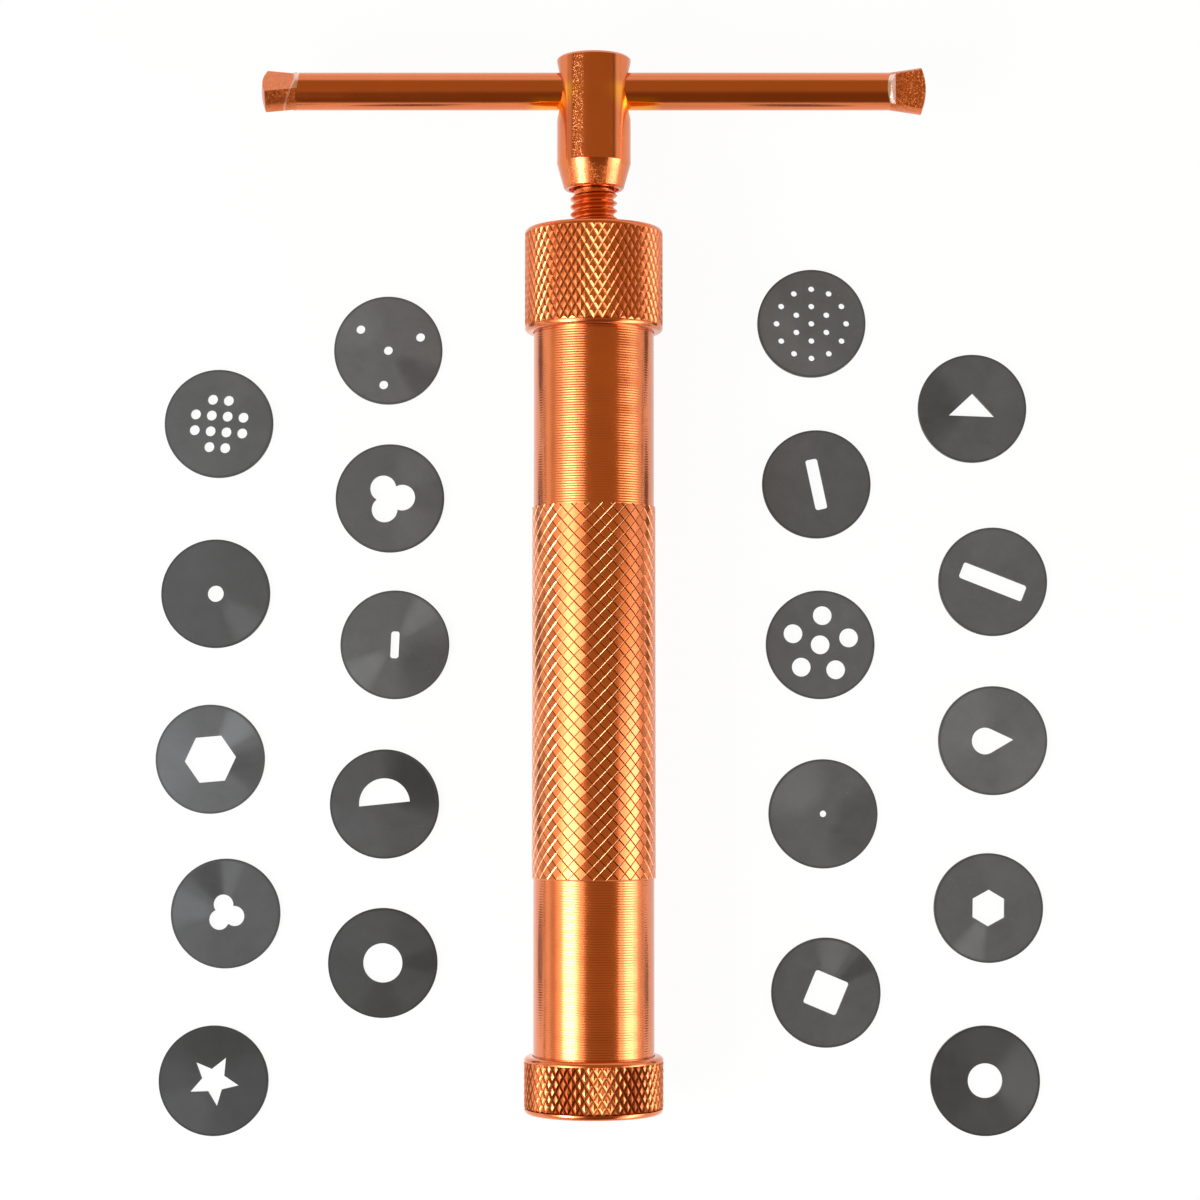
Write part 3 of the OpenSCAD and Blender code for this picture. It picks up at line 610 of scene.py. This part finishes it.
def close_sleeve(low, high, radius, inner):
    """Cuts the sleeve off at its top and turns its two ends in to a smaller radius, in edit mode."""
    bpy.ops.mesh.select_all(action="SELECT")
    bpy.ops.mesh.bisect(plane_co=(0, 0, high * MM), plane_no=(0, 0, 1), clear_outer=True)
    share = inner / radius
    for level in (low * MM, high * MM):
        choose("EDGE", lambda e: (
            len(e.link_faces) == 1 and all(abs(v.co.z - level) < LEVEL for v in e.verts)))
        bpy.ops.mesh.extrude_edges_move(TRANSFORM_OT_translate={"value": (0, 0, 0)})
        bpy.ops.transform.resize(value=(share, share, 1), center_override=(0, 0, level))


def cast_copper(piece, radius, group):
    """Rounds the points of a group to the turned radius they were cut from."""
    shape = piece.modifiers.new("round", "CAST")
    shape.cast_type = "CYLINDER"
    shape.factor = 1.0
    shape.use_radius_as_size = False
    shape.size = radius * MM
    shape.use_z = False
    shape.vertex_group = group
    bpy.ops.object.modifier_apply(modifier=shape.name)


def hand_over(piece, finish, body, nodes=(), angle=30):
    """Lays a piece along the tool, fixes its place in its mesh, and gives it its finish and its body."""
    only(piece)
    bpy.ops.object.transform_apply(location=True, rotation=True, scale=True)
    piece.rotation_euler = (-math.pi / 2, 0, 0)
    bpy.ops.object.transform_apply(location=True, rotation=True, scale=True)
    bpy.ops.object.shade_smooth_by_angle(angle=math.radians(angle))
    piece.data.materials.clear()
    piece.data.materials.append(finish)
    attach(piece, body)
    if nodes:
        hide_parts(*nodes)


def dress(node, finish):
    """Gives a CAD node its finish."""
    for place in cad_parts[node].material_slots:
        place.material = finish


def grip_knurl(sizes):
    """The barrel's knurled band: round lands, leaning one way, between narrow V grooves."""
    width, depth, lean = sizes.grip_groove
    base = GRIP_R - depth / MM
    piece = diamonds("grip_band", base, GRIP_LOW_Y, GRIP_HIGH_Y, sizes.grip_cells, sizes.grip_row / MM)
    choose("FACE", lambda f: True)
    bpy.ops.mesh.inset(thickness=width, depth=depth, use_individual=True)
    bpy.ops.transform.rotate(value=lean / (GRIP_R * MM), orient_axis="Z", center_override=(0, 0, 0))
    bpy.ops.transform.translate(value=(0, 0, lean))
    bpy.ops.mesh.subdivide(number_cuts=1)
    bpy.ops.object.vertex_group_add()
    bpy.ops.object.vertex_group_assign()
    group = piece.vertex_groups.active.name
    close_sleeve(GRIP_LOW_Y, GRIP_HIGH_Y, base, TUBE_R - GRIP_TUCK)
    bpy.ops.object.mode_set(mode="OBJECT")
    cast_copper(piece, GRIP_R, group)
    return piece


def cap_knurl(name, sizes, groove, low, high):
    """A cap's knurl: low pyramids between V grooves."""
    slope, depth, top, lean = groove
    base = CAP_R - (depth + top) / MM
    piece = diamonds(name, base, low, high, sizes.cap_cells, sizes.cap_row / MM)
    choose("FACE", lambda f: True)
    bpy.ops.mesh.inset(thickness=slope, depth=depth, use_individual=True)
    bpy.ops.transform.rotate(value=-lean / (CAP_R * MM), orient_axis="Z", center_override=(0, 0, 0))
    bpy.ops.transform.translate(value=(0, 0, lean))
    bpy.ops.mesh.poke(offset=top)
    close_sleeve(low, high, base, base - CAP_TUCK)
    bpy.ops.object.mode_set(mode="OBJECT")
    return piece


# Operators.

class EXTRUDER_OT_stage(bpy.types.Operator):
    """Lays the white table, hangs the soft boxes and places the camera"""

    bl_idname = "extruder.stage"
    bl_label = "Table, light and camera"

    def execute(self, context):
        colours = context.scene.extruder_colours
        begin()
        bpy.ops.mesh.primitive_plane_add(size=8, location=(0, 0, -CAP_R * MM))
        floor = name_piece("table")
        bpy.ops.object.transform_apply(location=True, rotation=True, scale=True)
        make = finish_named("table_white")
        cloth = make.noise(make.spot(), 40.0, 2.0)
        lit = make.node("ShaderNodeBsdfDiffuse", {}, {
            "Color": make.mix(cloth, shade(colours.floor, 0.99), shade(colours.floor, 1.01))}, "BSDF")
        glow = make.node("ShaderNodeEmission", {}, {"Color": (1, 1, 1, 1), "Strength": 1.0}, "Emission")
        # The camera sees the table almost evenly white, and the copper mirrors it a little darker.
        seen = make.node("ShaderNodeLightPath", out="Is Camera Ray")
        mirrored = seen.part("Is Glossy Ray") + seen.part("Is Transmission Ray")
        share = seen * 0.955 + mirrored * 0.72
        both = make.node("ShaderNodeMixShader", {}, {0: share, 1: lit, 2: glow}, "Shader")
        make.node("ShaderNodeOutputMaterial", {}, {"Surface": both})
        floor.data.materials.append(make.owner)

        world = bpy.data.worlds.new("studio")
        context.scene.world = world
        room = Recipe(world)
        x, y, z = room.axes(room.node("ShaderNodeTexCoord", out="Generated"))
        # White low down, dim and warm overhead, greyer on the left, with dark strips at both sides.
        high = room.rise(z - y * 0.2, 0.16, 0.42)
        left = room.rise(x, -0.2, -0.9) * 0.5
        roof = room.mix(room.rise(y, 0.0, -0.5), colours.overhead, colours.overhead_far)
        strips = room.rise(abs(x), 0.84, 0.90) * room.rise(y, 0.05, 0.2) * high
        band = room.rise(x, -0.5, -0.6) * room.rise(x, -0.82, -0.76) * 0.07
        sky = room.mix(high, (1, 1, 1, 1), room.mix(band, roof, (1, 1, 1, 1)))
        sky = room.mix(left, sky, shade(colours.overhead, 1.2))
        sky = room.mix(strips, sky, shade(colours.overhead_far, 0.9))
        back = room.node("ShaderNodeBackground", {}, {"Color": sky, "Strength": 1.0}, "Background")
        room.node("ShaderNodeOutputWorld", {}, {"Surface": back})

        for box in SOFT_BOXES:
            self.soft_box(*box)

        lens = bpy.data.cameras.new("camera")
        lens.lens = CAMERA_LENS
        lens.sensor_width = 36
        camera = bpy.data.objects.new("camera", lens)
        context.scene.collection.objects.link(camera)
        camera.location = CAMERA_AT
        camera.rotation_euler = (math.atan2(CAMERA_RISE, CAMERA_AT[2]), 0, 0)
        context.scene.camera = camera
        context.scene.view_settings.view_transform = "Standard"
        return {"FINISHED"}

    def soft_box(self, name, near, far, low, high, distance, glow, side):
        """A soft box beside the tool, between two angles from straight up."""
        middle = math.radians((near + far) / 2)
        width = 2 * distance * math.tan(math.radians((far - near) / 2))
        lamp = bpy.data.lights.new(name, "AREA")
        lamp.shape = "RECTANGLE"
        lamp.size = width
        lamp.size_y = high - low
        lamp.energy = glow * math.pi * width * (high - low)
        box = bpy.data.objects.new(name, lamp)
        bpy.context.scene.collection.objects.link(box)
        box.location = (side * distance * math.sin(middle), (low + high) / 2, distance * math.cos(middle))
        box.rotation_euler = (0, side * middle, 0)
        box.visible_camera = False


class EXTRUDER_OT_barrel(bpy.types.Operator):
    """Turns the barrel, with its grip band and its two threaded ends"""

    bl_idname = "extruder.barrel"
    bl_label = "Barrel"

    def execute(self, context):
        sizes, colours = context.scene.extruder_sizes, context.scene.extruder_colours
        root, edge = TUBE_ROOT_R, 0.25
        tube = turned("tube", [
            (BORE_R + CLEAR, TUBE_LOW_Y), (root - edge, TUBE_LOW_Y), (root, TUBE_LOW_Y + edge),
            (root, LOWER_SHOULDER_Y), (TUBE_R - BREAK, LOWER_SHOULDER_Y),
            (TUBE_R, LOWER_SHOULDER_Y + BREAK), (TUBE_R, LOW_RING_Y), (TUBE_R, GRIP_LOW_Y),
            (TUBE_R, GRIP_HIGH_Y), (TUBE_R, HIGH_RING_Y), (TUBE_R, UPPER_SHOULDER_Y - BREAK),
            (TUBE_R - BREAK, UPPER_SHOULDER_Y), (root, UPPER_SHOULDER_Y), (root, TUBE_HIGH_Y - edge),
            (root - edge, TUBE_HIGH_Y), (BORE_R + CLEAR, TUBE_HIGH_Y),
            (BORE_R, TUBE_HIGH_Y - CLEAR), (BORE_R, BORE_RING_Y), (BORE_R, TUBE_LOW_Y + CLEAR)])
        smooth = copper_finish(
            "copper_barrel", colours.copper, rough=0.19, ring_height=0.014,
            ring_pitch=sizes.ring_pitch / MM)
        pressed = copper_finish(
            "copper_knurl", colours.copper, rough=0.19, grain=0.004, valley=(GRIP_R - 0.11, GRIP_R - 0.05),
            slashes=(sizes.grip_cells, sizes.grip_row / MM, GRIP_LOW_Y))
        hand_over(tube, smooth, "tube", ["barrel"])
        hand_over(grip_knurl(sizes), pressed, "tube", angle=20)
        pitch = sizes.cap_pitch / MM
        for name, low, high in (
                ("lower_thread", TUBE_LOW_Y, TUBE_THREAD_Y),
                ("upper_thread", UPPER_SHOULDER_Y + TUBE_RELIEF, TUBE_HIGH_Y)):
            ridge = thread(name, root - SINK, TUBE_CREST_R, pitch, low + 0.2, high - 0.2)
            hand_over(ridge, smooth, "tube")
        return {"FINISHED"}


class EXTRUDER_OT_top_cap(bpy.types.Operator):
    """Turns and knurls the top cap, which is the nut of the lead screw"""

    bl_idname = "extruder.top_cap"
    bl_label = "Top cap"

    def execute(self, context):
        sizes, colours = context.scene.extruder_sizes, context.scene.extruder_colours
        low, high = TOP_CAP_LOW_Y + CAP_ROUND + BREAK, TOP_CAP_HIGH_Y - CAP_ROUND - BREAK
        body = turned("top_cap_body", [
            (MOUTH_R, TOP_CAP_LOW_Y),
            *corner(RIM_R - CAP_ROUND, TOP_CAP_LOW_Y + CAP_ROUND, CAP_ROUND, -90, 0),
            (RIM_R, low), (BED_R, low), (BED_R, high), (RIM_R, high),
            *corner(RIM_R - CAP_ROUND, TOP_CAP_HIGH_Y - CAP_ROUND, CAP_ROUND, 0, 90),
            (NUT_BORE_R + CLEAR, TOP_CAP_HIGH_Y), (NUT_BORE_R, TOP_CAP_HIGH_Y - CLEAR),
            (NUT_BORE_R, NUT_Y + CLEAR), (NUT_BORE_R + CLEAR, NUT_Y), (CAP_ROOT_R, NUT_Y),
            (CAP_ROOT_R, TOP_CAP_LOW_Y + MOUTH_DEPTH), (MOUTH_R, TOP_CAP_LOW_Y + MOUTH_DEPTH)])
        smooth = copper_finish("copper_top_cap", colours.copper, rough=0.18, ring_height=0.001)
        pressed = copper_finish(
            "copper_top_knurl", colours.copper, rough=0.2, grain=0.006,
            valley=(CAP_R - 0.23, CAP_R - 0.16))
        hand_over(body, smooth, "handle_cap", ["top_cap"])
        knurl = cap_knurl("top_cap_knurl", sizes, sizes.top_groove, low, high)
        hand_over(knurl, pressed, "handle_cap", angle=14)
        ridge = thread(
            "top_cap_thread", CAP_ROOT_R + SINK, CAP_CREST_R, sizes.cap_pitch / MM,
            TOP_CAP_LOW_Y + CAP_RELIEF, NUT_Y - CLEAR)
        hand_over(ridge, smooth, "handle_cap")
        return {"FINISHED"}


class EXTRUDER_OT_bottom_cap(bpy.types.Operator):
    """Turns and knurls the bottom cap, which holds the die over the outlet"""

    bl_idname = "extruder.bottom_cap"
    bl_label = "Bottom cap"

    def execute(self, context):
        sizes, colours = context.scene.extruder_sizes, context.scene.extruder_colours
        low, high = CAP_ROUND + 0.12, BOTTOM_CAP_Y - CAP_ROUND - 0.12
        body = turned("bottom_cap_body", [
            (OUTLET_R, 0.0), *corner(RIM_R - CAP_ROUND, CAP_ROUND, CAP_ROUND, -90, 0),
            (RIM_R, low), (BED_R, low), (BED_R, high), (RIM_R, high),
            *corner(RIM_R - CAP_ROUND, BOTTOM_CAP_Y - CAP_ROUND, CAP_ROUND, 0, 90),
            (MOUTH_R, BOTTOM_CAP_Y), (MOUTH_R, BOTTOM_CAP_Y - MOUTH_DEPTH),
            (CAP_ROOT_R, BOTTOM_CAP_Y - MOUTH_DEPTH), (CAP_ROOT_R, SEAT_Y), (POCKET_R, SEAT_Y),
            (POCKET_R, LIP_Y), (OUTLET_R, LIP_Y)])
        smooth = copper_finish("copper_bottom_cap", colours.copper, rough=0.18, ring_height=0.001)
        pressed = copper_finish(
            "copper_bottom_knurl", colours.copper, rough=0.18, grain=0.005,
            valley=(CAP_R - 0.24, CAP_R - 0.08))
        hand_over(body, smooth, "outlet_cap", ["bottom_cap"])
        knurl = cap_knurl("bottom_cap_knurl", sizes, sizes.bottom_groove, low, high)
        hand_over(knurl, pressed, "outlet_cap", angle=14)
        ridge = thread(
            "bottom_cap_thread", CAP_ROOT_R + SINK, CAP_CREST_R, sizes.cap_pitch / MM,
            SEAT_Y + CLEAR, CAP_THREAD_Y)
        hand_over(ridge, smooth, "outlet_cap")
        return {"FINISHED"}


class EXTRUDER_OT_lead_screw(bpy.types.Operator):
    """Cuts the lead screw: a core with its journal and spigot, and the right-handed thread wound on it"""

    bl_idname = "extruder.lead_screw"
    bl_label = "Lead screw"

    def execute(self, context):
        sizes, colours = context.scene.extruder_sizes, context.scene.extruder_colours
        core = turned("screw_core", [
            (TAP_R, JOURNAL_Y), (JOURNAL_R - BREAK, JOURNAL_Y), (JOURNAL_R, JOURNAL_Y + BREAK),
            (JOURNAL_R, SCREW_LOW_Y), (SCREW_ROOT_R - 0.2, SCREW_LOW_Y), (SCREW_ROOT_R, SCREW_LOW_Y + 0.2),
            (SCREW_ROOT_R, CORE_RING_Y), (SCREW_ROOT_R, SCREW_HIGH_Y), (SPIGOT_R, SCREW_HIGH_Y),
            (SPIGOT_R, SPIGOT_Y - CLEAR), (SPIGOT_R - CLEAR, SPIGOT_Y), (TAP_R, SPIGOT_Y),
            (TAP_R, CORE_RING_Y)], sides=64)
        finish = copper_finish("copper_screw", colours.red_copper, rough=0.2, grain=0.003)
        hand_over(core, finish, "screw", ["screw_rod"])
        ridge = thread(
            "screw_thread", SCREW_ROOT_R - SINK, SCREW_R, sizes.screw_pitch / MM, SCREW_LOW_Y, SCREW_HIGH_Y,
            steps=28)
        hand_over(ridge, finish, "screw")
        return {"FINISHED"}


class EXTRUDER_OT_head_and_bar(bpy.types.Operator):
    """Finishes the turned head and the T bar that slides in it"""

    bl_idname = "extruder.head_and_bar"
    bl_label = "Head and T bar"

    def execute(self, context):
        colours = context.scene.extruder_colours
        dress("drive_head", copper_finish(
            "copper_head", colours.copper, rough=0.14, ring_height=0.0012, glow=BAR_Y, pits=TAPER_Y))
        low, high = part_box("tommy_bar")
        spread = (high[0] - low[0]) / 2 / MM - BAR_END
        centre = (low[0] + high[0]) / 2 / MM
        dress("tommy_bar", bar_finish("copper_bar", colours.copper, centre, spread))
        return {"FINISHED"}


class EXTRUDER_OT_piston(bpy.types.Operator):
    """Finishes the piston, its sealing ring, its washer and its small screw"""

    bl_idname = "extruder.piston"
    bl_label = "Piston"

    def execute(self, context):
        colours = context.scene.extruder_colours
        dress("piston", plain_metal_finish("piston_metal", colours.aluminium, 0.3))
        plated = plain_metal_finish("plated_steel", colours.zinc, 0.26)
        dress("piston_washer", plated)
        dress("piston_screw", plated)
        dress("piston_o_ring", rubber_finish("rubber_ring", colours.rubber))
        return {"FINISHED"}


class EXTRUDER_OT_dies(bpy.types.Operator):
    """Finishes the twenty loose dies, each with the painted sheen of its own turned face"""

    bl_idname = "extruder.dies"
    bl_label = "Dies"

    def execute(self, context):
        colours = context.scene.extruder_colours
        for node, (level, sheen) in DIE_SHEEN.items():
            low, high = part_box(node)
            centre = ((low[0] + high[0]) / 2 / MM, (low[1] + high[1]) / 2 / MM)
            steel = shade(colours.steel, level)
            dress(node, die_finish(node.replace("die_", "steel_"), steel, centre, sheen))
        return {"FINISHED"}


PIECES = (
    EXTRUDER_OT_stage, EXTRUDER_OT_barrel, EXTRUDER_OT_top_cap, EXTRUDER_OT_bottom_cap,
    EXTRUDER_OT_lead_screw, EXTRUDER_OT_head_and_bar, EXTRUDER_OT_piston, EXTRUDER_OT_dies,
)


class EXTRUDER_PT_pieces(bpy.types.Panel):
    """The extruder's pieces"""

    bl_idname = "EXTRUDER_PT_pieces"
    bl_label = "Clay extruder"
    bl_space_type = "VIEW_3D"
    bl_region_type = "UI"
    bl_category = "Clay extruder"

    def draw(self, context):
        for operator in PIECES:
            self.layout.operator(operator.bl_idname)
        for group in (context.scene.extruder_sizes, context.scene.extruder_colours):
            for name in group.__annotations__:
                self.layout.prop(group, name)


CLASSES = (ExtruderSizes, ExtruderColours, *PIECES, EXTRUDER_PT_pieces)


def register():
    for part in CLASSES:
        bpy.utils.register_class(part)
    bpy.types.Scene.extruder_sizes = bpy.props.PointerProperty(type=ExtruderSizes)
    bpy.types.Scene.extruder_colours = bpy.props.PointerProperty(type=ExtruderColours)


def unregister():
    del bpy.types.Scene.extruder_colours
    del bpy.types.Scene.extruder_sizes
    for part in reversed(CLASSES):
        bpy.utils.unregister_class(part)


def main():
    """Makes every piece in order."""
    register()
    bpy.ops.extruder.stage()
    bpy.ops.extruder.barrel()
    bpy.ops.extruder.top_cap()
    bpy.ops.extruder.bottom_cap()
    bpy.ops.extruder.lead_screw()
    bpy.ops.extruder.head_and_bar()
    bpy.ops.extruder.piston()
    bpy.ops.extruder.dies()


if __name__ == "__main__":
    main()
